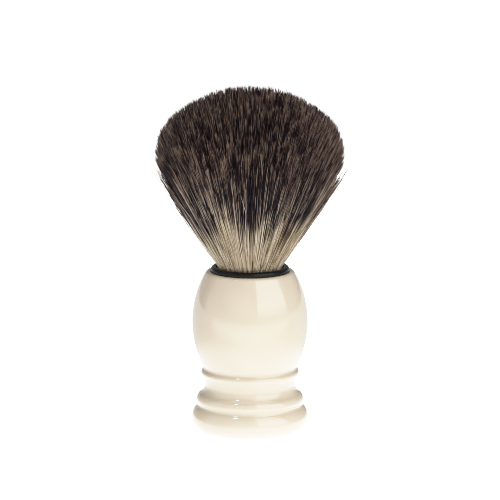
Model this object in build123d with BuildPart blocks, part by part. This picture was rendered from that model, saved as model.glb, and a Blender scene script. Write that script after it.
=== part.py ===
from build123d import *
import math
import os

# A shaving brush standing upright on its foot. Z runs up the axis of the brush, and the origin is the centre
# of the flat underside. Every piece is round about Z, so each profile is drawn as (radius, height) and
# revolved. Millimetres throughout.

os.makedirs("parts", exist_ok=True)

# ---- driving dimensions of the outside ------------------------------------------------------------------
# The outline is a chain of arcs that touch without corners. Each widest or narrowest place stands upright.
FOOT_BULGE_R, FOOT_BULGE_Z = 18.25, 3.7
FOOT_EDGE_ROUND, FOOT_TOP_ROUND = 4.4, 4.6  # below and above the bulge
CREASE_ROUND = 0.9  # hollow between the foot and the flange above it, where the two pieces meet
FLANGE_R, FLANGE_Z = 16.7, 9.35
FLANGE_LIP_ROUND, FLANGE_TOP_ROUND = 1.5, 2.3
WAIST_R, WAIST_Z = 14.05, 13.9  # narrowest place, where a stand's fork grips
BEAD_R, BEAD_Z = 15.2, 17.9
BEAD_ROUND = 0.9
BEAD_COVE_ROUND = 0.7
BELLY_R, BELLY_Z = 17.9, 34.0
BARREL_ROUND = 31.0
MOUTH_Z = 49.85
RIM_ROUND, RIM_INNER_ROUND = 1.2, 0.15

# ---- collar and knot ------------------------------------------------------------------------------------
LIP_R, LIP_TOP_Z = 12.2, 51.4
LIP_OUTER_ROUND, LIP_INNER_ROUND = 1.1, 0.7
LIP_SEAT_Z = 48.95  # ledge inside the rim, which the lip sits on
LIP_SEAT_GAP = 0.05  # glue under the lip and round it
CUP_OUTER_R, CUP_INNER_R = 11.2, 10.4
CUP_BOTTOM_Z, CUP_FLOOR = 30.6, 1.4

# ---- free hair ------------------------------------------------------------------------------------------
BRUSH_HEIGHT = 107.2
HAIR_EXIT_R = 10.4
SPREAD_DEG = 31.5  # slope of the tuft's side, from vertical
BLOOM_R, BLOOM_Z = 30.3, 86.0  # widest place of the tuft
BLOOM_ROUND = 8.0
SHOULDER_ROUND = 15.5  # above the widest place, where the side turns over into the dome
# The loose hair bends about one point above the collar, as a cantilever does: 0.16 of the free length up.
BEND_Z = 60.4
BALL_R = 13.8  # rounded underside of the moving hair, centred on the bend
BALL_GAP = 0.3

# ---- inside the handle ----------------------------------------------------------------------------------
SOCKET_R, SOCKET_FLOOR_Z = 11.35, 29.8
CORE_R, CORE_TOP_Z = 11.0, 26.8  # bore from below, which takes the foot's spigot and the weight
SPIGOT_R, SPIGOT_TOP_Z = 10.95, 14.0
SPIGOT_CHAMFER = 0.6
WEIGHT_R, WEIGHT_TOP_Z = 8.0, 11.4
WEIGHT_GAP = 0.1
WEIGHT_CHAMFER = 0.6
DISC_R, DISC_THICK, DISC_GAP = 11.6, 2.4, 0.05
DISC_CHAMFER = 0.3
ADHESIVE_GAP = 0.05

# ---- inside the knot ------------------------------------------------------------------------------------
ROOT_GAP = 0.05
ROOT_BUTT_R = 9.6
PLUG_TOP_Z = 36.4
THREAD_R = 0.3
THREAD_TURNS = 6
THREAD_PITCH = 0.62
THREAD_FIRST_Z = 38.2
THREAD_GROOVE_DEPTH = 0.7
THREAD_GAP = 0.02


def save(part, label):
    """Name one finished piece and write its STEP file."""
    part.label = label
    export_step(part, f"parts/{label}.step")


def side_r(height):
    """Radius of the tuft's straight side at a height."""
    return HAIR_EXIT_R + (height - LIP_TOP_Z) * math.tan(math.radians(SPREAD_DEG))


def arc_r(centre, radius, height):
    """How far out an arc about a centre lies at a height."""
    return centre[0] + math.sqrt(radius**2 - (height - centre[1]) ** 2)


def toward(start, end, distance):
    """The point at a distance from start, on the line through end."""
    scale = distance / math.dist(start, end)
    return (start[0] + (end[0] - start[0]) * scale, start[1] + (end[1] - start[1]) * scale)


def outer_point(low, low_distance, high, high_distance):
    """The outer one of the two points at given distances from a low and a high centre."""
    gap = math.dist(low, high)
    along = (low_distance**2 - high_distance**2 + gap**2) / (2 * gap)
    aside = math.sqrt(low_distance**2 - along**2)
    foot = toward(low, high, along)
    rise_r, rise_z = (high[0] - low[0]) / gap, (high[1] - low[1]) / gap
    return (foot[0] + aside * rise_z, foot[1] - aside * rise_r)


def s_curve_total(across, along):
    """Sum of the two radii of a smooth S whose ends both stand upright."""
    return (across**2 + along**2) / (2 * across)


# ---- the crease, half of it on each piece --------------------------------------------------------------
flange_lip = (FLANGE_R - FLANGE_LIP_ROUND, FLANGE_Z)
foot_top = (FOOT_BULGE_R - FOOT_TOP_ROUND, FOOT_BULGE_Z)
crease = outer_point(foot_top, FOOT_TOP_ROUND + CREASE_ROUND, flange_lip, FLANGE_LIP_ROUND + CREASE_ROUND)
seam_r, seam_z = crease[0] - CREASE_ROUND, crease[1]

# ---- handle_shell: barrel, bead, waist and flange, bored from both ends --------------------------------
with BuildPart() as handle_shell:
    flange_top = (FLANGE_R - FLANGE_TOP_ROUND, FLANGE_Z)
    lower_round = s_curve_total(FLANGE_R - WAIST_R, WAIST_Z - FLANGE_Z) - FLANGE_TOP_ROUND
    waist_low = (WAIST_R + lower_round, WAIST_Z)
    upper_round = s_curve_total(BEAD_R - WAIST_R, BEAD_Z - WAIST_Z) - BEAD_ROUND
    waist_high = (WAIST_R + upper_round, WAIST_Z)
    bead = (BEAD_R - BEAD_ROUND, BEAD_Z)
    barrel = (BELLY_R - BARREL_ROUND, BELLY_Z)
    cove = outer_point(bead, BEAD_ROUND + BEAD_COVE_ROUND, barrel, BARREL_ROUND + BEAD_COVE_ROUND)
    rim_z = MOUTH_Z - RIM_ROUND
    rim = (arc_r(barrel, BARREL_ROUND - RIM_ROUND, rim_z), rim_z)
    seat_r = LIP_R + LIP_SEAT_GAP
    rim_inner_r = seat_r + RIM_INNER_ROUND
    lip_turn = toward(flange_lip, crease, FLANGE_LIP_ROUND)
    flange_turn = toward(flange_top, waist_low, FLANGE_TOP_ROUND)
    waist_turn = toward(bead, waist_high, BEAD_ROUND)
    bead_turn = toward(bead, cove, BEAD_ROUND)
    cove_turn = toward(barrel, cove, BARREL_ROUND)
    rim_turn = toward(barrel, rim, BARREL_ROUND)
    with BuildSketch(Plane.XZ):
        with BuildLine():
            Line((0, seam_z), (seam_r, seam_z))
            RadiusArc((seam_r, seam_z), lip_turn, CREASE_ROUND)
            RadiusArc(lip_turn, (FLANGE_R, FLANGE_Z), -FLANGE_LIP_ROUND)
            RadiusArc((FLANGE_R, FLANGE_Z), flange_turn, -FLANGE_TOP_ROUND)
            RadiusArc(flange_turn, (WAIST_R, WAIST_Z), lower_round)
            RadiusArc((WAIST_R, WAIST_Z), waist_turn, upper_round)
            RadiusArc(waist_turn, (BEAD_R, BEAD_Z), -BEAD_ROUND)
            RadiusArc((BEAD_R, BEAD_Z), bead_turn, -BEAD_ROUND)
            RadiusArc(bead_turn, cove_turn, BEAD_COVE_ROUND)
            RadiusArc(cove_turn, rim_turn, -BARREL_ROUND)
            RadiusArc(rim_turn, (rim[0], MOUTH_Z), -RIM_ROUND)
            Line((rim[0], MOUTH_Z), (rim_inner_r, MOUTH_Z))
            RadiusArc((rim_inner_r, MOUTH_Z), (seat_r, MOUTH_Z - RIM_INNER_ROUND), -RIM_INNER_ROUND)
            Line((seat_r, MOUTH_Z - RIM_INNER_ROUND), (seat_r, LIP_SEAT_Z))
            Line((seat_r, LIP_SEAT_Z), (0, LIP_SEAT_Z))
            Line((0, LIP_SEAT_Z), (0, seam_z))
        make_face()
    revolve(axis=Axis.Z)
    with BuildSketch(Plane.XY.offset(SOCKET_FLOOR_Z)):
        Circle(SOCKET_R)
    extrude(amount=LIP_SEAT_Z - SOCKET_FLOOR_Z, mode=Mode.SUBTRACT)
    with BuildSketch(Plane.XY.offset(seam_z)):
        Circle(CORE_R)
    extrude(amount=CORE_TOP_Z - seam_z, mode=Mode.SUBTRACT)
save(handle_shell.part, "handle_shell")

# ---- handle_foot: the base bulge with a spigot that fits up into the shell -----------------------------
with BuildPart() as handle_foot:
    sole_r = arc_r((FOOT_BULGE_R - FOOT_EDGE_ROUND, FOOT_BULGE_Z), FOOT_EDGE_ROUND, 0)
    foot_turn = toward(foot_top, crease, FOOT_TOP_ROUND)
    with BuildSketch(Plane.XZ):
        with BuildLine():
            Line((0, 0), (sole_r, 0))
            RadiusArc((sole_r, 0), (FOOT_BULGE_R, FOOT_BULGE_Z), -FOOT_EDGE_ROUND)
            RadiusArc((FOOT_BULGE_R, FOOT_BULGE_Z), foot_turn, -FOOT_TOP_ROUND)
            RadiusArc(foot_turn, (seam_r, seam_z), CREASE_ROUND)
            Line((seam_r, seam_z), (SPIGOT_R, seam_z))
            Line((SPIGOT_R, seam_z), (SPIGOT_R, SPIGOT_TOP_Z))
            Line((SPIGOT_R, SPIGOT_TOP_Z), (0, SPIGOT_TOP_Z))
            Line((0, SPIGOT_TOP_Z), (0, 0))
        make_face()
    revolve(axis=Axis.Z)
    with BuildSketch(Plane.XY):
        Circle(DISC_R + DISC_GAP)
    extrude(amount=DISC_THICK, mode=Mode.SUBTRACT)
    with BuildSketch(Plane.XY.offset(DISC_THICK)):
        Circle(WEIGHT_R + WEIGHT_GAP)
    extrude(amount=WEIGHT_TOP_Z + WEIGHT_GAP - DISC_THICK, mode=Mode.SUBTRACT)
    spigot_tip = handle_foot.edges().filter_by(GeomType.CIRCLE).sort_by(Axis.Z)[-1]
    chamfer(spigot_tip, length=SPIGOT_CHAMFER)
save(handle_foot.part, "handle_foot")

# ---- ballast_weight: steel slug that keeps the brush upright --------------------------------------------
with BuildPart() as ballast_weight:
    weight_bottom_z = DISC_THICK - DISC_GAP
    with BuildSketch(Plane.XY.offset(weight_bottom_z)):
        Circle(WEIGHT_R)
    extrude(amount=WEIGHT_TOP_Z - weight_bottom_z)
    chamfer(ballast_weight.edges().filter_by(GeomType.CIRCLE), length=WEIGHT_CHAMFER)
save(ballast_weight.part, "ballast_weight")

# ---- base_disc: closing plate let into the underside, flush with the sole ------------------------------
with BuildPart() as base_disc:
    with BuildSketch(Plane.XY):
        Circle(DISC_R)
    extrude(amount=DISC_THICK - DISC_GAP)
    chamfer(base_disc.edges().filter_by(GeomType.CIRCLE), length=DISC_CHAMFER)
save(base_disc.part, "base_disc")

# ---- knot_collar: black cup that holds the hair, with the rounded lip that shows at the mouth ----------
with BuildPart() as knot_collar:
    with BuildSketch(Plane.XZ):
        with BuildLine():
            lip_base_z = LIP_SEAT_Z + LIP_SEAT_GAP
            lip_top_r = CUP_INNER_R + LIP_INNER_ROUND
            Line((0, CUP_BOTTOM_Z), (CUP_OUTER_R, CUP_BOTTOM_Z))
            Line((CUP_OUTER_R, CUP_BOTTOM_Z), (CUP_OUTER_R, lip_base_z))
            Line((CUP_OUTER_R, lip_base_z), (LIP_R, lip_base_z))
            Line((LIP_R, lip_base_z), (LIP_R, LIP_TOP_Z - LIP_OUTER_ROUND))
            RadiusArc((LIP_R, LIP_TOP_Z - LIP_OUTER_ROUND), (lip_top_r, LIP_TOP_Z), -LIP_OUTER_ROUND)
            RadiusArc((lip_top_r, LIP_TOP_Z), (CUP_INNER_R, LIP_TOP_Z - LIP_INNER_ROUND), -LIP_INNER_ROUND)
            Line((CUP_INNER_R, LIP_TOP_Z - LIP_INNER_ROUND), (CUP_INNER_R, CUP_BOTTOM_Z + CUP_FLOOR))
            Line((CUP_INNER_R, CUP_BOTTOM_Z + CUP_FLOOR), (0, CUP_BOTTOM_Z + CUP_FLOOR))
            Line((0, CUP_BOTTOM_Z + CUP_FLOOR), (0, CUP_BOTTOM_Z))
        make_face()
    revolve(axis=Axis.Z)
save(knot_collar.part, "knot_collar")

# ---- socket_adhesive: pad of glue between the cup and the bottom of the handle's socket ----------------
with BuildPart() as socket_adhesive:
    with BuildSketch(Plane.XY.offset(SOCKET_FLOOR_Z)):
        Circle(SOCKET_R - ADHESIVE_GAP)
    extrude(amount=CUP_BOTTOM_Z - SOCKET_FLOOR_Z)
save(socket_adhesive.part, "socket_adhesive")

# ---- glue_plug: resin that fills the bottom of the cup and holds the butts of the hair -----------------
with BuildPart() as glue_plug:
    cup_floor_z = CUP_BOTTOM_Z + CUP_FLOOR
    butt_floor_z = cup_floor_z + CUP_FLOOR
    with BuildSketch(Plane.XY.offset(cup_floor_z)):
        Circle(CUP_INNER_R - ROOT_GAP)
    extrude(amount=PLUG_TOP_Z - cup_floor_z)
    with BuildSketch(Plane.XY.offset(butt_floor_z)):
        Circle(ROOT_BUTT_R)
    extrude(amount=PLUG_TOP_Z - butt_floor_z, mode=Mode.SUBTRACT)
save(glue_plug.part, "glue_plug")

# ---- hair_root: bound bundle of hair inside the cup, hollowed on top where the free hair bends ----------
with BuildPart() as hair_root:
    root_r = CUP_INNER_R - ROOT_GAP
    socket_ball_r = BALL_R + BALL_GAP
    waisted_r = root_r - THREAD_GROOVE_DEPTH
    root_edge_z = BEND_Z - math.sqrt(socket_ball_r**2 - root_r**2)
    thread_low_z = THREAD_FIRST_Z - THREAD_PITCH
    thread_high_z = THREAD_FIRST_Z + THREAD_TURNS * THREAD_PITCH
    with BuildSketch(Plane.XZ):
        with BuildLine():
            Line((0, butt_floor_z), (ROOT_BUTT_R, butt_floor_z))
            Line((ROOT_BUTT_R, butt_floor_z), (ROOT_BUTT_R, PLUG_TOP_Z))
            Line((ROOT_BUTT_R, PLUG_TOP_Z), (root_r, PLUG_TOP_Z))
            Line((root_r, PLUG_TOP_Z), (root_r, thread_low_z))
            Line((root_r, thread_low_z), (waisted_r, THREAD_FIRST_Z))
            Line((waisted_r, THREAD_FIRST_Z), (waisted_r, thread_high_z))
            Line((waisted_r, thread_high_z), (root_r, thread_high_z + THREAD_PITCH))
            Line((root_r, thread_high_z + THREAD_PITCH), (root_r, root_edge_z))
            RadiusArc((root_r, root_edge_z), (0, BEND_Z - socket_ball_r), socket_ball_r)
            Line((0, BEND_Z - socket_ball_r), (0, butt_floor_z))
        make_face()
    revolve(axis=Axis.Z)
save(hair_root.part, "hair_root")

# ---- binding_thread: turns of thread round the root, each a closed ring --------------------------------
with BuildPart() as binding_thread:
    thread_centre_r = waisted_r + THREAD_R + THREAD_GAP
    for turn in range(THREAD_TURNS):
        turn_z = THREAD_FIRST_Z + (turn + 0.5) * THREAD_PITCH
        with BuildSketch(Plane.XZ):
            with Locations((thread_centre_r, turn_z)):
                Circle(THREAD_R)
        revolve(axis=Axis.Z)
save(binding_thread.part, "binding_thread")

# ---- hair_tuft: the free hair, a bulb that swings on its rounded underside -----------------------------
with BuildPart() as hair_tuft:
    spread = math.radians(SPREAD_DEG)
    bloom_start_r = BLOOM_R - BLOOM_ROUND * (1 - math.cos(spread))
    bloom_start_z = BLOOM_Z - BLOOM_ROUND * math.sin(spread)
    # The dome is one arc about the axis, tangent inside the shoulder's arc.
    shoulder_r = BLOOM_R - SHOULDER_ROUND
    dome_rise = BRUSH_HEIGHT - BLOOM_Z
    dome_round = (shoulder_r**2 + dome_rise**2 - SHOULDER_ROUND**2) / (2 * (dome_rise - SHOULDER_ROUND))
    dome_centre_z = BRUSH_HEIGHT - dome_round
    tangent_scale = dome_round / (dome_round - SHOULDER_ROUND)
    tangent_r = shoulder_r * tangent_scale
    tangent_z = dome_centre_z + (BLOOM_Z - dome_centre_z) * tangent_scale
    with BuildSketch(Plane.XZ):
        with BuildLine():
            RadiusArc((0, BEND_Z - BALL_R), (BALL_R, BEND_Z), -BALL_R)
            Line((BALL_R, BEND_Z), (side_r(BEND_Z), BEND_Z))
            Line((side_r(BEND_Z), BEND_Z), (bloom_start_r, bloom_start_z))
            RadiusArc((bloom_start_r, bloom_start_z), (BLOOM_R, BLOOM_Z), -BLOOM_ROUND)
            RadiusArc((BLOOM_R, BLOOM_Z), (tangent_r, tangent_z), -SHOULDER_ROUND)
            RadiusArc((tangent_r, tangent_z), (0, BRUSH_HEIGHT), -dome_round)
            Line((0, BRUSH_HEIGHT), (0, BEND_Z - BALL_R))
        make_face()
    revolve(axis=Axis.Z)
save(hair_tuft.part, "hair_tuft")
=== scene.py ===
"""The looks of the shaving brush: cream resin handle, black collar and a bulb of badger hair.

Every length is in metres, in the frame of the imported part: +Z up, the sole at zero, the brush's axis on Z.
The camera looks from -Y. Azimuths are counted from there, towards +X.
"""

import math

import bpy
import numpy as np
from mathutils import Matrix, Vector


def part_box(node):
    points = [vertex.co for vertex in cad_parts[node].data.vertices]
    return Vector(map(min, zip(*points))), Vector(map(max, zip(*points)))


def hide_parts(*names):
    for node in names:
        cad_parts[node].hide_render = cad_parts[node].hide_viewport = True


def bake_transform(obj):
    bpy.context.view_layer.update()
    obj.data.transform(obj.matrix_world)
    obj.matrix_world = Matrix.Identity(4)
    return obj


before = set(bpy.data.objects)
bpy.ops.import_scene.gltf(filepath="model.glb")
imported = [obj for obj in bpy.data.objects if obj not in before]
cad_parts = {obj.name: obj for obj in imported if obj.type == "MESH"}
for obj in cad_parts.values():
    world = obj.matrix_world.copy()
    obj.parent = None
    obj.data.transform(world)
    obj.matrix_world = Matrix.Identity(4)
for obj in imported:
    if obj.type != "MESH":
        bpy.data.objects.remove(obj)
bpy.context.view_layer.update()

MM = 0.001
GOLDEN_ANGLE = math.pi * (3 - math.sqrt(5))

# ---- the camera and the studio ----
CAMERA_DISTANCE = 1.2
CAMERA_ELEVATION = math.radians(11)
CAMERA_TARGET = Vector((0, 0, 0.0563))
CAMERA_REACH = 200  # how far away it still sees
FRAME_WIDTH = 0.1545  # what the camera sees across at the target
SENSOR_WIDTH = 36  # millimetres, as is the lens
FLOOR_SIZE = 60
WHITE_SHOWN = 2.3  # the table and the backdrop as the camera sees them
ROOM_LIGHT = 0.24
TABLE_GLOW = 1.9  # under the brush
TABLE_FAR = 0.78  # far away in front of it
TABLE_DIM = 0.58  # beside it and behind it
TABLE_NEAR = (0.035, 0.10)  # distances from the brush between which the glow fades to the sides
TABLE_AWAY = (0.05, 0.90)  # and towards the front
TABLE_FRONT = (-0.12, -0.02)  # Y between which the front begins
SOFT_BOXES = (  # azimuths, elevations, soft ends of each (all degrees), radiance
    ((16, 80), (8, 72), (0.8, 10), 2.1),
    ((-104, 84), (-8, 52), (3, 6), 0.52),
    ((-178, -131), (-6, 12), (3, 3), 0.3),
    ((-58, -48), (63, 68), (0.8, 0.8), 32),
)
FILM_WHITE = 2.0  # scene light that comes out as pure white
FILM_CURVE = ((0.15, 0.15), (0.35, 0.35), (0.6, 0.59), (0.8, 0.755), (1.0, 0.87), (1.3, 0.95), (1.6, 0.985))
LENS_SHARPNESS = 1.0  # pixels over which each sample is spread

# ---- the outline of the hair, from the CAD nodes that it stands for ----
_, tuft_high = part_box("hair_tuft")
_, root_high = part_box("hair_root")
_, collar_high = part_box("knot_collar")
_, plug_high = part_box("glue_plug")
EXIT_Z = collar_high.z
EXIT_R = root_high.x - 0.35 * MM
BUTT_Z = plug_high.z - 1.4 * MM
BUTT_R = 9.2 * MM
TOP_Z = tuft_high.z
BLOOM_Z = 86 * MM  # height of the widest place
BLOOM_R = tuft_high.x - 0.9 * MM
SHOULDER_ROUND = 15.5 * MM
DOME_LIFT = 1.2 * MM  # how far the tips stand above the CAD dome
SPREAD = 0.585  # how far out the outermost hair goes for each unit that it rises
FAN_APEX_Z = EXIT_Z - EXIT_R / SPREAD  # where all straight hairs would meet, below the collar

# ---- how many strands there are, and how they gather ----
SEED = 11
STRANDS = 24500
LAYERS = ("core", "heart", "inner", "middle", "outer", "under", "skin")
CLUMPS = 1500
WISPS = 8400  # a few strands that cling together and share one tone
DISC_POWER = 0.46  # 0.5 spreads the roots evenly, and less crowds them towards the rim
ROOT_SCATTER = 0.012  # this and the next five are in radii of the bundle
WISP_SCATTER = 0.010
CLUMP_LEAN = 0.012
WISP_LEAN = 0.022
STRAND_LEAN = 0.008
RIM = 0.92  # beyond which a strand may be loose
CLUMP_PULL = 0.35  # the most that a tip moves towards the middle of its clump, as a share of the way
WISP_CLING = 0.60  # and towards the middle of its wisp
CLING_EASE = 1.2  # a strand's own lean is divided by this less its cling, so that tight wisps still fray

# ---- each strand's length, line and width ----
STRAND_SHORT = 0.7 * MM  # typical shortening of a strand, by itself
CLUMP_SHORT = 0.22 * MM  # with its clump
WISP_SHORT = 0.35 * MM  # with its wisp
RIM_SHORT = 2.2 * MM  # and at the rim
RIM_SHORT_FROM = 0.75  # radii of the bundle
LOOSE_SHARE = 0.20  # the share of strands at the rim that stand off from the others
LOOSE_SPREAD = (0.02, 0.13)  # how much further out they go
LOOSE_SHORT = 6 * MM  # and by how much they are shorter, at most
STRAY_SHARE = 0.03  # the share of all strands that stand up from the dome
STRAY_RISE = (0.2 * MM, 1.4 * MM)
WAVE = 0.26 * MM
WAVE_CYCLES = (0.8, 2.2)
BOW = 0.6 * MM
STEPS = (0, 0.16, 0.34, 0.52, 0.70, 0.86, 0.97, 1)  # places along the free hair, from the collar to the tip
SIDES = 3
STRAND_R = 0.096 * MM
ROOT_WIDTH = 0.55  # a strand's width at the root, as a share of its full width
FULL_FROM = 0.55  # where along the free hair a strand reaches its full width
TIP_LOSS = 0.5  # the share of its full width that it loses towards the tip
TIP_LOSS_FROM = 0.68
DARK_WIDTH = 0.9  # how wide the darkest strand is, in STRAND_R
LIGHT_WIDTH = 0.3  # how much wider the lightest is
ACROSS = (0.31, 0.95, 0.02)  # a direction that no strand takes, to turn its sides by

# ---- the tones of the strands, from 0, the darkest, to 1, the lightest ----
LIGHT_SHARE = 0.60  # the share of wisps that are light in their dark band, before what follows changes it
LIGHT_VARIETY = 0.4  # how much that share varies from clump to clump
LIGHT_MIDDLE = 0.54  # how much of it the middle of the front and back have
SIDES_PAINTED_LIGHT = 0.62  # and how much more the sides have, as the camera sees them: painted light shining through the hair at its outline
SIDES_FROM = (0.1, 0.9)  # radii of the bundle between which the middle turns into the sides
DARK_LOCK = (-62, 24, 0.5)  # azimuth and half width in degrees, and how much of that share it loses
LIGHT_IN_LIGHT = 0.68  # the share of light strands in a light wisp
LIGHT_IN_DARK = 0.12  # and in a dark one
LIGHT_TONES = (0.62, 1.0)
DARK_TONES = 0.55  # the lightest of the dark strands
DARK_SHAPE = (1.6, 2.2)  # of the beta distribution of dark tones
PALE_SHAPE = (1.6, 1.1)  # and of the paleness of the roots
CLUMP_TONE = 0.04
CLUMP_PALE = 0.08
WISP_PALE = 0.18
BAND_START = 0.20  # where along the free hair the dark band begins
CLUMP_BAND = 0.04
WISP_BAND = 0.06
STRAND_BAND = 0.08
BAND_LIMITS = (-0.05, 0.62)  # between which it begins on every strand
PALE_LOCKS = (  # azimuth and half width in degrees, and how much further up the hair stays pale
    (-22, 12, 0.42),
    (10, 12, 0.18),
    (30, 11, 0.20),
    (58, 16, 0.17),
    (120, 20, -0.07),
    (175, 18, 0.12),
    (-140, 22, -0.06),
)
BAND_BLEND = 0.16  # how far along the free hair the change into the dark band takes
TIP_START = 0.72  # where the brown tip begins
TONE_DRIFT = 0.06  # how much a strand's tone changes along it
ROOT_SHADES = (  # colours of the pale root, by paleness
    (0.0, (0.11, 0.06, 0.022)),
    (0.25, (0.33, 0.22, 0.11)),
    (0.5, (0.66, 0.54, 0.37)),
    (1.0, (0.92, 0.84, 0.68)),
)
BAND_SHADES = (  # colours of the dark band, by tone
    (0.0, (0.006, 0.004, 0.012)),
    (0.5, (0.016, 0.010, 0.019)),
    (0.7, (0.19, 0.142, 0.116)),
    (1.0, (0.70, 0.56, 0.44)),
)
TIP_SHADES = (  # colours of the tip, by tone
    (0.0, (0.007, 0.004, 0.008)),
    (0.5, (0.027, 0.014, 0.019)),
    (0.7, (0.165, 0.103, 0.088)),
    (1.0, (0.54, 0.39, 0.30)),
)

# ---- the map that all strands share ----
MAP_COLUMNS = 256
MAP_MARGIN = 0.04  # of a cell, at its top and bottom
MAP_HALF_WIDTH = 0.18  # of a cell


# ---------------------------------------------------------------- small helpers


def smoothstep(low, high, x):
    t = np.clip((x - low) / (high - low), 0, 1)
    return t * t * (3 - 2 * t)


def new_material(name):
    """A node material, its tree and its Principled shader."""
    material = bpy.data.materials.new(name)
    material.use_nodes = True
    tree = material.node_tree
    return material, tree, tree.nodes["Principled BSDF"]


def add(tree, kind, **values):
    """A node of this kind, with its own settings, and its inputs by name."""
    node = tree.nodes.new(kind)
    for key, value in values.items():
        if hasattr(node, key):
            setattr(node, key, value)
        else:
            node.inputs[key.replace("_", " ")].default_value = value
    return node


def plug(tree, value, socket):
    """Links the socket to another node's output, or sets it to a number or a colour."""
    if isinstance(value, bpy.types.NodeSocket):
        tree.links.new(value, socket)
    elif isinstance(value, tuple):
        socket.default_value = (*value, 1)
    else:
        socket.default_value = value


def ramp(tree, source, stops):
    """A colour ramp driven by source, with stops of (place, colour)."""
    node = tree.nodes.new("ShaderNodeValToRGB")
    elements = node.color_ramp.elements
    while len(elements) < len(stops):
        elements.new(0.5)
    for element, (place, colour) in zip(elements, stops):
        element.position = place
        element.color = (*colour, 1)
    tree.links.new(source, node.inputs["Fac"])
    return node.outputs["Color"]


def object_point(tree):
    """The point on the object, which stays with it as it moves."""
    return tree.nodes.new("ShaderNodeTexCoord").outputs["Object"]


def noise(tree, scale, detail=2.0, roughness=0.5):
    node = add(tree, "ShaderNodeTexNoise", Scale=scale, Detail=detail, Roughness=roughness)
    tree.links.new(object_point(tree), node.inputs["Vector"])
    return node.outputs["Fac"]


def remap(tree, source, span, result):
    """Source carried smoothly from the one range to the other, and held at its ends."""
    node = add(tree, "ShaderNodeMapRange", interpolation_type="SMOOTHSTEP")
    tree.links.new(source, node.inputs["Value"])
    for key, value in zip(("From Min", "From Max", "To Min", "To Max"), (*span, *result)):
        plug(tree, value, node.inputs[key])
    return node.outputs["Result"]


def math_node(tree, operation, first, second=0.0):
    node = add(tree, "ShaderNodeMath", operation=operation)
    plug(tree, first, node.inputs[0])
    plug(tree, second, node.inputs[1])
    return node.outputs[0]


def mixed(tree, factor, first, second, blend="MIX"):
    """Two colours mixed. The sockets are numbered, because the node has several of each name."""
    node = add(tree, "ShaderNodeMix", data_type="RGBA", blend_type=blend)
    for key, value in ((0, factor), (6, first), (7, second)):
        plug(tree, value, node.inputs[key])
    return node.outputs[2]


def bump(tree, shader, height, strength, distance):
    node = add(tree, "ShaderNodeBump", Strength=strength, Distance=distance)
    tree.links.new(height, node.inputs["Height"])
    tree.links.new(node.outputs["Normal"], shader.inputs["Normal"])


def attribute(tree, name):
    return add(tree, "ShaderNodeAttribute", attribute_name=name).outputs["Fac"]


# ---------------------------------------------------------------- materials


def cream_resin():
    """Polished cast resin: milky, a little cloudy inside, with the faint waviness of hand polishing."""
    material, tree, shader = new_material("cream_resin_polished")
    clouds = noise(tree, scale=140, detail=3)
    shade = ramp(tree, clouds, [(0.3, (0.615, 0.528, 0.404)), (0.7, (0.645, 0.558, 0.434))])
    tree.links.new(shade, shader.inputs["Base Color"])
    smears = noise(tree, scale=420, detail=4, roughness=0.6)
    tree.links.new(remap(tree, smears, (0.35, 0.7), (0.05, 0.10)), shader.inputs["Roughness"])
    shader.inputs["IOR"].default_value = 1.56
    shader.inputs["Coat Weight"].default_value = 0.7
    shader.inputs["Coat Roughness"].default_value = 0.03
    shader.inputs["Coat IOR"].default_value = 1.5
    bump(tree, shader, noise(tree, scale=260, detail=1), strength=0.05, distance=0.02 * MM)
    return material


def collar_black():
    """Moulded black plastic with a soft gloss."""
    material, tree, shader = new_material("collar_black_gloss")
    grain = noise(tree, scale=2600, detail=3)
    shade = ramp(tree, grain, [(0.3, (0.003, 0.003, 0.0035)), (0.75, (0.006, 0.006, 0.007))])
    tree.links.new(shade, shader.inputs["Base Color"])
    tree.links.new(remap(tree, grain, (0.3, 0.7), (0.24, 0.34)), shader.inputs["Roughness"])
    shader.inputs["Specular IOR Level"].default_value = 0.2
    bump(tree, shader, grain, strength=0.08, distance=0.01 * MM)
    return material


def plain_part(name, dark, light, scale, roughness, metallic=0.0, depth=0.02 * MM):
    """An inner piece: two near colours in fine patches, with the relief of the same grain."""
    material, tree, shader = new_material(name)
    grain = noise(tree, scale, detail=4, roughness=0.6)
    tree.links.new(ramp(tree, grain, [(0.3, dark), (0.7, light)]), shader.inputs["Base Color"])
    tree.links.new(remap(tree, grain, (0.3, 0.7), roughness), shader.inputs["Roughness"])
    shader.inputs["Metallic"].default_value = metallic
    bump(tree, shader, grain, strength=0.3, distance=depth)
    return material


def badger_hair():
    """Badger hair: cream at the root, a black-brown band, and a brown tip, each strand with its own tone."""
    material, tree, shader = new_material("badger_hair_strands")
    along = attribute(tree, "along")
    band = attribute(tree, "band")
    drift = remap(tree, noise(tree, scale=230), (0.3, 0.7), (-TONE_DRIFT, TONE_DRIFT))
    tone = math_node(tree, "ADD", attribute(tree, "tone"), drift)
    pale = math_node(tree, "ADD", attribute(tree, "pale"), drift)
    root = ramp(tree, pale, ROOT_SHADES)
    dark = ramp(tree, tone, BAND_SHADES)
    tip = ramp(tree, tone, TIP_SHADES)
    into_dark = remap(tree, along, (band, math_node(tree, "ADD", band, BAND_BLEND)), (0.0, 1.0))
    into_tip = remap(tree, along, (TIP_START, 1.0), (0.0, 1.0))
    colour = mixed(tree, into_tip, mixed(tree, into_dark, root, dark), tip)
    flecks = noise(tree, scale=1800)
    fleck_shade = ramp(tree, flecks, [(0.3, (0.82, 0.82, 0.82)), (0.7, (1.0, 1.0, 1.0))])
    tree.links.new(mixed(tree, 1.0, colour, fleck_shade, "MULTIPLY"), shader.inputs["Base Color"])
    shader.inputs["Roughness"].default_value = 0.42
    shader.inputs["Specular IOR Level"].default_value = 0.15
    return material


def set_material(ob, material):
    """Puts the material on every slot of ob."""
    if not ob.material_slots:
        ob.data.materials.append(material)
    for slot in ob.material_slots:
        slot.material = material


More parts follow.
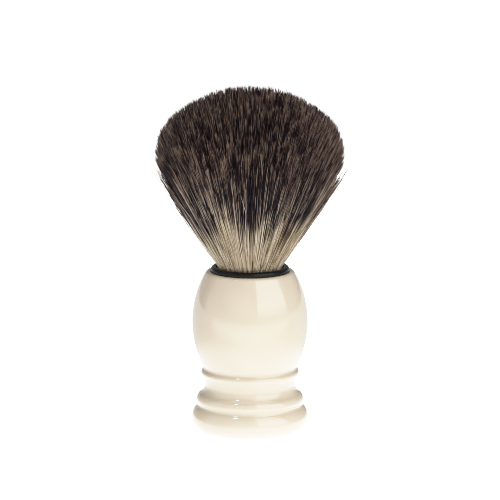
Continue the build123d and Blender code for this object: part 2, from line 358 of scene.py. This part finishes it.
def dress_cad_nodes():
    """The CAD nodes keep their shapes and get their finished materials."""
    resin = cream_resin()
    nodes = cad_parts
    for name in ("handle_shell", "handle_foot", "base_disc"):
        set_material(nodes[name], resin)
    set_material(nodes["knot_collar"], collar_black())
    set_material(
        nodes["ballast_weight"],
        plain_part("turned_steel", (0.42, 0.42, 0.43), (0.55, 0.55, 0.56), 900, (0.28, 0.42), metallic=1.0),
    )
    set_material(
        nodes["glue_plug"],
        plain_part("amber_epoxy", (0.42, 0.27, 0.10), (0.52, 0.36, 0.16), 500, (0.12, 0.25)),
    )
    set_material(
        nodes["binding_thread"],
        plain_part(
            "waxed_cotton", (0.50, 0.46, 0.38), (0.70, 0.66, 0.57), 5200, (0.6, 0.8), depth=0.05 * MM
        ),
    )
    set_material(
        nodes["socket_adhesive"],
        plain_part("white_adhesive", (0.66, 0.65, 0.62), (0.76, 0.75, 0.72), 700, (0.35, 0.5)),
    )


# ---------------------------------------------------------------- hair


def disc_points(rng, count, scatter):
    """Points all over a disc of radius one, from its middle outwards, each moved a little by chance."""
    i = np.arange(count)
    radius = ((i + 0.5) / count) ** DISC_POWER
    even = np.stack([radius * np.cos(i * GOLDEN_ANGLE), radius * np.sin(i * GOLDEN_ANGLE)], 1)
    return even + rng.normal(0, scatter, (count, 2))


def dome_height(slope):
    """The height at which hair that leaves the fan's apex at this slope meets the dome or its shoulder."""
    shoulder_x = BLOOM_R - SHOULDER_ROUND
    top = TOP_Z - SHOULDER_ROUND
    dome_z = (top**2 - shoulder_x**2 - BLOOM_Z**2) / (2 * (top - BLOOM_Z))
    dome_r = TOP_Z - dome_z

    def meet(centre_x, centre_z, radius):
        a = slope**2 + 1
        b = slope * centre_x + (centre_z - FAN_APEX_Z)
        c = centre_x**2 + (centre_z - FAN_APEX_Z) ** 2 - radius**2
        return FAN_APEX_Z + (b + np.sqrt(np.maximum(b * b - a * c, 0))) / a

    on_dome = meet(0, dome_z, dome_r)
    on_shoulder = meet(shoulder_x, BLOOM_Z, SHOULDER_ROUND)
    turn = dome_z + dome_r * (BLOOM_Z - dome_z) / math.hypot(shoulder_x, BLOOM_Z - dome_z)
    return np.where(on_dome > turn, on_dome, on_shoulder)


def nearest(points, centres, batch=2000):
    """For each point, the number of the nearest centre."""
    found = np.zeros(len(points), int)
    for start in range(0, len(points), batch):
        gap = points[start : start + batch, None, :] - centres[None, :, :]
        found[start : start + batch] = (gap**2).sum(2).argmin(1)
    return found


def strand_spots(rng):
    """Each strand's place in the collar and the place that its tip aims at, both on a disc of radius one,
    and the numbers of its clump and its wisp."""
    root = disc_points(rng, STRANDS, ROOT_SCATTER)
    root = root / np.maximum(np.hypot(*root.T), 1)[:, None]
    clump_centres = disc_points(rng, CLUMPS, ROOT_SCATTER)
    clump = nearest(root, clump_centres)
    wisp_centres = disc_points(rng, WISPS, WISP_SCATTER)
    wisp = nearest(root, wisp_centres)
    pull = rng.uniform(0.0, CLUMP_PULL, CLUMPS)[clump][:, None]
    cling = rng.uniform(0.0, WISP_CLING, WISPS)[wisp][:, None]
    lean = rng.normal(0, CLUMP_LEAN, (CLUMPS, 2))[clump] + rng.normal(0, WISP_LEAN, (WISPS, 2))[wisp]
    lean = lean + rng.normal(0, STRAND_LEAN, (STRANDS, 2)) / (CLING_EASE - cling)
    to_clump = (clump_centres[clump] - root) * pull
    to_wisp = (wisp_centres[wisp] - root) * cling * (1 - pull)
    return root, root + to_clump + to_wisp + lean, clump, wisp


def strand_tips(rng, aim, clump, wisp):
    """The points of all strands: on the dome, a little short of it, or straying from it."""
    spread = np.hypot(*aim.T)
    aim = aim / np.maximum(spread, 1)[:, None]
    spread = np.minimum(spread, 1)
    loose = (spread > RIM) & (rng.random(STRANDS) < LOOSE_SHARE)
    slope = spread * SPREAD * (1 + loose * rng.uniform(*LOOSE_SPREAD, STRANDS))
    dome_z = dome_height(np.minimum(slope, SPREAD))
    short = np.abs(rng.normal(0, STRAND_SHORT, STRANDS)) + rng.normal(0, CLUMP_SHORT, CLUMPS)[clump]
    short = short + np.abs(rng.normal(0, WISP_SHORT, WISPS))[wisp]
    short = short + np.abs(rng.normal(0, RIM_SHORT, STRANDS)) * smoothstep(RIM_SHORT_FROM, 1.0, spread)
    short = short + loose * rng.uniform(0, LOOSE_SHORT, STRANDS)
    stray = (rng.random(STRANDS) < STRAY_SHARE) * rng.uniform(*STRAY_RISE, STRANDS)
    tip_z = dome_z + DOME_LIFT - short + stray
    tip_r = slope * (tip_z - FAN_APEX_Z)
    direction = aim / np.maximum(np.hypot(*aim.T), 1e-6)[:, None]
    return np.column_stack([direction * tip_r[:, None], tip_z])


def strand_waves(rng, t):
    """How far each strand is from its straight line at the places t, which are shares of its free length."""
    turn = rng.uniform(0, 2 * math.pi, STRANDS)
    sideways = np.column_stack([np.cos(turn), np.sin(turn), np.zeros(STRANDS)])
    wave = rng.normal(0, WAVE, STRANDS)[:, None]
    phase = rng.uniform(0, 2 * math.pi, STRANDS)[:, None]
    cycles = rng.uniform(*WAVE_CYCLES, STRANDS)[:, None]
    swing = np.sin(2 * math.pi * cycles * t + phase) - np.sin(phase)
    bow = rng.normal(0, BOW, STRANDS)[:, None] * np.sin(math.pi * t)
    return (wave * swing * t + bow)[:, :, None] * sideways[:, None, :]


def strand_paths(rng):
    """The middle lines of all strands from butt to tip, their places in the collar, and their groups."""
    root, aim, clump, wisp = strand_spots(rng)
    tip_point = strand_tips(rng, aim, clump, wisp)
    exit_point = np.column_stack([root * EXIT_R, np.full(STRANDS, EXIT_Z)])
    butt_point = np.column_stack([root * BUTT_R, np.full(STRANDS, BUTT_Z)])
    t = np.array(STEPS)
    free = exit_point[:, None, :] + (tip_point - exit_point)[:, None, :] * t[None, :, None]
    path = np.concatenate([butt_point[:, None, :], free + strand_waves(rng, t)], 1)
    return path, root, clump, wisp


def near_lock(azimuth, middle, width):
    """One in the middle of a lock, and falling to zero to both sides of it."""
    gap = (azimuth - middle + 180) % 360 - 180
    return np.exp(-((gap / width) ** 2))


def strand_looks(rng, root, clump, wisp):
    """Each strand's tone in its dark band, with painted light at the sides, its paleness at the root, and
    where its dark band begins.
    """
    azimuth = np.degrees(np.arctan2(root[:, 0], -root[:, 1]))
    dark_middle, dark_width, loss = DARK_LOCK
    share = LIGHT_SHARE * (1 - loss * near_lock(azimuth, dark_middle, dark_width))
    share = share * (1 + LIGHT_VARIETY * rng.normal(0, 1, CLUMPS)[clump])
    # Painted light: more light strands at the sides of the bulb, as the camera sees them, for light shining
    # through the hair at its outline.
    share = share * (LIGHT_MIDDLE + SIDES_PAINTED_LIGHT * smoothstep(*SIDES_FROM, np.abs(root[:, 0])))
    light_wisp = rng.random(WISPS)[wisp] < share
    light = rng.random(STRANDS) < np.where(light_wisp, LIGHT_IN_LIGHT, LIGHT_IN_DARK)
    light_tone = rng.uniform(*LIGHT_TONES, STRANDS)
    dark_tone = DARK_TONES * rng.beta(*DARK_SHAPE, STRANDS)
    tone = np.where(light, light_tone, dark_tone) + rng.normal(0, CLUMP_TONE, CLUMPS)[clump]
    pale = rng.beta(*PALE_SHAPE, STRANDS) + rng.normal(0, CLUMP_PALE, CLUMPS)[clump]
    pale = pale + rng.normal(0, WISP_PALE, WISPS)[wisp]
    band = BAND_START + rng.normal(0, CLUMP_BAND, CLUMPS)[clump] + rng.normal(0, WISP_BAND, WISPS)[wisp]
    band = band + rng.normal(0, STRAND_BAND, STRANDS)
    for middle, width, rise in PALE_LOCKS:
        band = band + rise * near_lock(azimuth, middle, width)
    return {"tone": np.clip(tone, 0, 1), "pale": np.clip(pale, 0, 1), "band": np.clip(band, *BAND_LIMITS)}


def strand_points(path, along, tone):
    """The points of every strand's tube, ring by ring, with its tip last."""
    rings = path.shape[1] - 1
    tangent = np.gradient(path, axis=1)
    tangent /= np.linalg.norm(tangent, axis=2, keepdims=True)
    side = np.cross(tangent, np.array(ACROSS))
    side /= np.linalg.norm(side, axis=2, keepdims=True)
    other = np.cross(tangent, side)
    taper = ROOT_WIDTH + (1 - ROOT_WIDTH) * smoothstep(0, FULL_FROM, along)
    taper = taper - TIP_LOSS * smoothstep(TIP_LOSS_FROM, 1.0, along)
    width = STRAND_R * (DARK_WIDTH + LIGHT_WIDTH * tone)
    thickness = width[:, None, None, None] * taper[:rings, None, None]
    angle = np.arange(SIDES) * 2 * math.pi / SIDES
    ring = (
        path[:, :rings, None, :]
        + side[:, :rings, None, :] * np.cos(angle)[:, None] * thickness
        + other[:, :rings, None, :] * np.sin(angle)[:, None] * thickness
    )
    return np.concatenate([ring.reshape(len(path), rings * SIDES, 3), path[:, rings:, :]], 1)


def strand_faces(rings):
    """The faces of one strand's tube: its sides, the sides of its point, and the cap at its butt."""
    sides = []
    for k in range(rings - 1):
        for j in range(SIDES):
            a = k * SIDES + j
            b = k * SIDES + (j + 1) % SIDES
            sides.append((a, b, b + SIDES, a + SIDES))
    last = (rings - 1) * SIDES
    point = [(last + j, last + (j + 1) % SIDES, rings * SIDES) for j in range(SIDES)]
    cap = [tuple(range(SIDES))[::-1]]
    return sides + point + cap


def strand_mesh(name, path, looks):
    """One closed, tapered tube for each strand, all in one mesh, with what the material needs to know."""
    count = len(path)
    rings = path.shape[1] - 1
    along = np.concatenate([[0.0], np.array(STEPS)])
    points = strand_points(path, along, looks["tone"])
    per_strand = rings * SIDES + 1
    faces = strand_faces(rings)
    corners = np.array([corner for face in faces for corner in face])
    sizes = np.array([len(face) for face in faces])
    loops = (np.arange(count)[:, None] * per_strand + corners[None, :]).ravel()
    starts = (np.arange(count) * len(corners))[:, None] + (np.cumsum(sizes) - sizes)[None, :]

    mesh = bpy.data.meshes.new(name)
    mesh.vertices.add(count * per_strand)
    mesh.vertices.foreach_set("co", points.astype(np.float32).ravel())
    mesh.loops.add(len(loops))
    mesh.loops.foreach_set("vertex_index", loops.astype(np.int32))
    mesh.polygons.add(count * len(faces))
    mesh.polygons.foreach_set("loop_start", starts.ravel().astype(np.int32))
    mesh.update(calc_edges=True)
    mesh.validate()
    mesh.polygons.foreach_set("use_smooth", np.ones(count * len(faces), bool))

    point_along = np.concatenate([np.repeat(along[:rings], SIDES), [1.0]])
    values = {"along": np.tile(point_along, count)}
    values.update({key: np.repeat(value, per_strand) for key, value in looks.items()})
    for key, value in values.items():
        mesh.attributes.new(key, "FLOAT", "POINT").data.foreach_set("value", value.astype(np.float32))
    add_strand_map(mesh, count, point_along, corners)
    return mesh


def add_strand_map(mesh, count, point_along, corners):
    """Gives every strand its own narrow upright cell of one shared map, from root to tip."""
    rows = math.ceil(count / MAP_COLUMNS)
    column = np.arange(count) % MAP_COLUMNS
    row = np.arange(count) // MAP_COLUMNS
    one_ring = (-MAP_HALF_WIDTH, MAP_HALF_WIDTH, 0.0)
    sideways = np.concatenate([np.tile(one_ring, len(point_along) // SIDES), [0.0]])
    u = (column[:, None] + 0.5 + sideways[corners][None, :]) / MAP_COLUMNS
    v = (row[:, None] + MAP_MARGIN + (1 - 2 * MAP_MARGIN) * point_along[corners][None, :]) / rows
    layer = mesh.uv_layers.new(name="OFBake")
    layer.data.foreach_set("uv", np.stack([u, v], 2).astype(np.float32).ravel())


def grow_hair():
    """The whole bundle, in layers from its middle to its skin, each a piece of its own."""
    rng = np.random.default_rng(SEED)
    path, root, clump, wisp = strand_paths(rng)
    looks = strand_looks(rng, root, clump, wisp)
    material = badger_hair()
    share = STRANDS // len(LAYERS)
    order = np.argsort(np.hypot(*root.T), kind="stable")
    for number, layer in enumerate(LAYERS):
        pick = order[number * share : (number + 1) * share]
        mesh = strand_mesh(f"hair_{layer}", path[pick], {key: value[pick] for key, value in looks.items()})
        mesh.materials.append(material)
        hair = bpy.data.objects.new(f"hair_{layer}", mesh)
        bpy.context.scene.collection.objects.link(hair)
        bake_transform(hair)
        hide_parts("hair_tuft", "hair_root")


# ---------------------------------------------------------------- studio


def window(tree, source, low, high, soft):
    """One inside a range and zero outside it, with soft ends."""
    rise = remap(tree, source, (low - soft, low + soft), (0.0, 1.0))
    fall = remap(tree, source, (high - soft, high + soft), (1.0, 0.0))
    return math_node(tree, "MULTIPLY", rise, fall)


def shown_or_felt(tree, shown, felt):
    """One value where the camera looks straight at a surface, and another for the light that it gives."""
    node = add(tree, "ShaderNodeMix", data_type="FLOAT")
    tree.links.new(tree.nodes.new("ShaderNodeLightPath").outputs["Is Camera Ray"], node.inputs["Factor"])
    plug(tree, felt, node.inputs["A"])
    plug(tree, shown, node.inputs["B"])
    return node.outputs["Result"]


def table_glow(tree):
    """The table's glow: most under the brush, less far in front of it, and least beside and behind it."""
    length = add(tree, "ShaderNodeVectorMath", operation="LENGTH")
    tree.links.new(object_point(tree), length.inputs[0])
    distance = length.outputs["Value"]
    split = tree.nodes.new("ShaderNodeSeparateXYZ")
    tree.links.new(object_point(tree), split.inputs[0])
    near = remap(tree, distance, TABLE_NEAR, (TABLE_GLOW, TABLE_DIM))
    away = remap(tree, distance, TABLE_AWAY, (TABLE_GLOW, TABLE_FAR))
    front = remap(tree, split.outputs["Y"], TABLE_FRONT, (away, TABLE_DIM))
    return math_node(tree, "MAXIMUM", near, front)


def light_table():
    """A white table top, which glows enough to hide the brush's shadow."""
    material, tree, shader = new_material("light_table_white")
    shader.inputs["Base Color"].default_value = (0.5, 0.5, 0.5, 1)
    shader.inputs["Roughness"].default_value = 0.6
    shader.inputs["Specular IOR Level"].default_value = 0.0
    shader.inputs["Emission Color"].default_value = (1.0, 0.99, 0.985, 1)
    tree.links.new(shown_or_felt(tree, WHITE_SHOWN, table_glow(tree)), shader.inputs["Emission Strength"])
    half = FLOOR_SIZE / 2
    corners = [(-half, -half, 0), (half, -half, 0), (half, half, 0), (-half, half, 0)]
    mesh = bpy.data.meshes.new("floor")
    mesh.from_pydata(corners, [], [(0, 1, 2, 3)])
    mesh.materials.append(material)
    floor = bpy.data.objects.new("floor", mesh)
    bpy.context.scene.collection.objects.link(floor)


def studio_world():
    """A dim room with large soft boxes round the brush, in front of a white backdrop."""
    world = bpy.data.worlds.new("studio")
    world.use_nodes = True
    tree = world.node_tree
    background = tree.nodes["Background"]
    split = tree.nodes.new("ShaderNodeSeparateXYZ")
    tree.links.new(tree.nodes.new("ShaderNodeTexCoord").outputs["Generated"], split.inputs[0])
    east, north, up = split.outputs
    azimuth = math_node(tree, "ARCTAN2", east, math_node(tree, "MULTIPLY", north, -1.0))
    elevation = math_node(tree, "ARCSINE", up)
    light = ROOM_LIGHT
    for azimuths, elevations, soft_ends, radiance in SOFT_BOXES:
        across = window(tree, azimuth, *map(math.radians, azimuths), math.radians(soft_ends[0]))
        upwards = window(tree, elevation, *map(math.radians, elevations), math.radians(soft_ends[1]))
        box = math_node(tree, "MULTIPLY", across, upwards)
        light = math_node(tree, "ADD", light, math_node(tree, "MULTIPLY", box, radiance))
    background.inputs["Color"].default_value = (1.0, 0.99, 0.98, 1)
    tree.links.new(shown_or_felt(tree, WHITE_SHOWN, light), background.inputs["Strength"])
    bpy.context.scene.world = world


def set_camera():
    camera_data = bpy.data.cameras.new("camera")
    camera_data.sensor_width = SENSOR_WIDTH
    camera_data.lens = SENSOR_WIDTH * CAMERA_DISTANCE / FRAME_WIDTH
    camera_data.clip_end = CAMERA_REACH
    camera = bpy.data.objects.new("camera", camera_data)
    back = Vector((0, -math.cos(CAMERA_ELEVATION), math.sin(CAMERA_ELEVATION)))
    camera.location = CAMERA_TARGET + back * CAMERA_DISTANCE
    camera.rotation_euler = (-back).to_track_quat("-Z", "Y").to_euler()
    bpy.context.scene.collection.objects.link(camera)
    bpy.context.scene.camera = camera


def film_response():
    """Highlights roll off softly, as on film, and the glowing table comes out white."""
    view = bpy.context.scene.view_settings
    view.view_transform = "Standard"
    view.use_curve_mapping = True
    mapping = view.curve_mapping
    mapping.white_level = (FILM_WHITE,) * 3
    points = mapping.curves[3].points  # the curve for all colours, after those for red, green and blue
    points[0].location = (0, 0)
    points[-1].location = (1, 1)
    for scene_light, shown in FILM_CURVE:
        points.new(scene_light / FILM_WHITE, shown)
    mapping.update()
    bpy.context.scene.cycles.filter_width = LENS_SHARPNESS


def build_studio():
    set_camera()
    light_table()
    studio_world()
    film_response()


build_studio()
dress_cad_nodes()
grow_hair()
